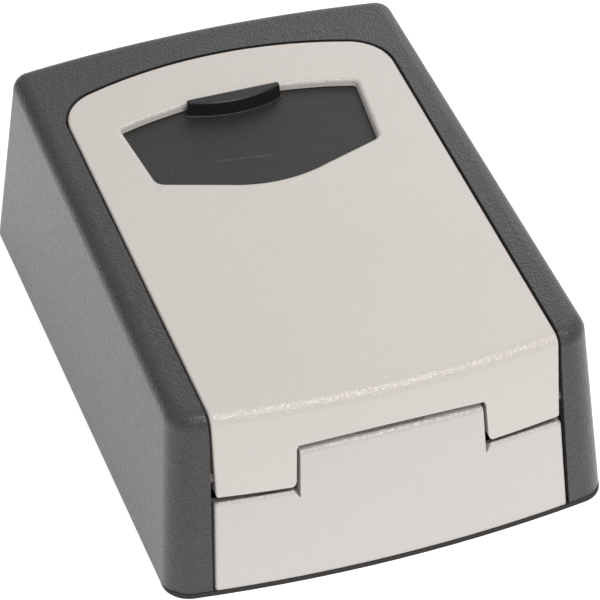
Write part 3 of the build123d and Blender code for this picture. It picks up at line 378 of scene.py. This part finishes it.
give(coat, "body_shell")
give(beige, "door_shell")
give(beige_low, "lower_panel")
give(shut, "shutter")
give(rubber, "rear_pad")
give(black, "dial_carrier", "mechanism_cover")
give(dial_black, "number_dial_1", "number_dial_2", "number_dial_3", "number_dial_4")
give(grey, "release_knob")
give(zinc, "latch_frame", "shift_fork", "lower_panel_screws", "carrier_screws", "cover_screws")
give(pin, "hinge_pin")
give(bright, "dial_axle", "axle_clip", "latch_springs", "dial_detent_spring")
give(brass, "dial_hub_1", "dial_hub_2", "dial_hub_3", "dial_hub_4", "code_change_lever", "key_hook")

# ---------------------------------------------------------------------------
# Plain numbers 0 to 9 around each dial, printed a hair above the plastic
# ---------------------------------------------------------------------------
DIAL_R = 7.5
DIAL_V, DIAL_W = 21.5, -10.5
ink = plastic_material("dial_numbers", (0.72, 0.72, 0.70), 0.5)


def number_mesh(text, size):
    """A flat closed mesh of one character, x across and y up, in millimetres, centred."""
    cu = bpy.data.curves.new("number", "FONT")
    cu.body = text
    cu.size = size
    cu.align_x = "CENTER"
    cu.align_y = "CENTER"
    cu.extrude = 0.5
    cu.resolution_u = 4
    ob = bpy.data.objects.new("number", cu)
    scene.collection.objects.link(ob)
    bpy.context.view_layer.update()
    me = bpy.data.meshes.new_from_object(ob)
    bpy.data.objects.remove(ob)
    bpy.data.curves.remove(cu)
    return me


axle = face(0, DIAL_V, DIAL_W)
plain = [number_mesh(str(n), 3.9) for n in range(10)]
for i in range(4):
    bm = bmesh.new()
    cx = (i - 1.5) * 7.6
    for n in range(10):
        start = len(bm.verts)
        bm.from_mesh(plain[n])
        bm.verts.ensure_lookup_table()
        mine = bm.verts[start:]
        mx = (min(p.co.x for p in mine) + max(p.co.x for p in mine)) / 2
        my = (min(p.co.y for p in mine) + max(p.co.y for p in mine)) / 2
        for p in mine:
            x, y, t = p.co.x - mx, p.co.y - my, p.co.z
            r = DIAL_R + (0.03 if t > 0 else -0.05)
            a = y / DIAL_R - math.radians(36.0) * n
            q = Vector((cx + x, 0.0, 0.0)) + ALONG * (math.sin(a) * r) + UP * (math.cos(a) * r)
            p.co = axle + q * MM
    bmesh.ops.remove_doubles(bm, verts=bm.verts, dist=1e-7)
    bmesh.ops.recalc_face_normals(bm, faces=bm.faces)
    me = bpy.data.meshes.new(f"dial_numbers_{i + 1}")
    bm.to_mesh(me)
    bm.free()
    me.materials.append(ink)
    ob = bpy.data.objects.new(f"dial_numbers_{i + 1}", me)
    scene.collection.objects.link(ob)
    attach(ob, f"dial_{i + 1}")
for me in plain:
    bpy.data.meshes.remove(me)

# ---------------------------------------------------------------------------
# Floor, with a glow painted round the object, and light
# ---------------------------------------------------------------------------
bm = bmesh.new()
bmesh.ops.create_circle(bm, cap_ends=True, segments=96, radius=3.0)
me = bpy.data.meshes.new("floor")
bm.to_mesh(me)
bm.free()
floor = bpy.data.objects.new("floor", me)
scene.collection.objects.link(floor)
floor.location = (0, 0, -0.00002)
kf = Mat("floor_paper_painted_glow", (0.62, 0.62, 0.62), 0.8)
# painted light: the floor glows at 0.74 within 0.08 m of the object, fading to 0.34 past 0.22 m, a pool of light that
# fills the shade round the case's foot
kf.b.inputs["Emission Color"].default_value = (1.0, 1.0, 1.0, 1.0)
away = kf.node("ShaderNodeVectorMath", operation="LENGTH")
kf.link(kf.pos, away.inputs[0])
kf.link(kf.maprange(away.outputs["Value"], 0.08, 0.22, 0.74, 0.34, smooth=True), kf.b.inputs["Emission Strength"])
kf.color(kf.mix(kf.maprange(kf.noise(3.0, 2.0, 0.5), 0.3, 0.7, 0.0, 1.0), (0.612, 0.616, 0.62), (0.622, 0.626, 0.63)))
me.materials.append(kf.m)

world = bpy.data.worlds.new("studio")
scene.world = world
world.use_nodes = True
wt = world.node_tree
wt.nodes.clear()
wo = wt.nodes.new("ShaderNodeOutputWorld")
bg = wt.nodes.new("ShaderNodeBackground")
wt.links.new(bg.outputs["Background"], wo.inputs["Surface"])


def world_range(v, a, b, c, d):
    n = wt.nodes.new("ShaderNodeMapRange")
    n.interpolation_type = "SMOOTHSTEP"
    wt.links.new(v, n.inputs["Value"])
    for key, value in (("From Min", a), ("From Max", b), ("To Min", c), ("To Max", d)):
        if isinstance(value, float):
            n.inputs[key].default_value = value
        else:
            wt.links.new(value, n.inputs[key])
    return n.outputs["Result"]


# a bright room in front and above, a darker wall low behind the object
way = wt.nodes.new("ShaderNodeTexCoord")
parts = wt.nodes.new("ShaderNodeSeparateXYZ")
wt.links.new(way.outputs["Generated"], parts.inputs[0])
front_light = world_range(parts.outputs["Z"], 0.0, 0.9, 0.66, 0.70)
back_low = world_range(parts.outputs["X"], -0.45, 0.30, 0.08, 0.85)
back_light = world_range(parts.outputs["Z"], 0.12, 0.68, back_low, 0.64)
room = world_range(parts.outputs["Y"], -0.15, 0.50, front_light, back_light)
wt.links.new(room, bg.inputs["Strength"])
bg.inputs["Color"].default_value = (0.985, 0.99, 1.0, 1.0)


def area(name, where, aim, size, power, color=(1, 1, 1), size_y=None):
    d = bpy.data.lights.new(name, "AREA")
    d.shape = "RECTANGLE" if size_y else "SQUARE"
    d.size = size
    if size_y:
        d.size_y = size_y
    d.energy = power
    d.color = color
    o = bpy.data.objects.new(name, d)
    scene.collection.objects.link(o)
    o.location = where
    o.rotation_euler = (Vector(aim) - Vector(where)).to_track_quat("-Z", "Y").to_euler()
    return o


area("key_above", (0.19, -0.44, 0.94), (0, 0, 0.02), 0.32, 4.2, (1.0, 0.955, 0.895), 0.40)
area("soft_behind", (0.27, 0.35, 0.29), (0, 0, 0.03), 0.22, 0.27, (1.0, 1.0, 1.0))
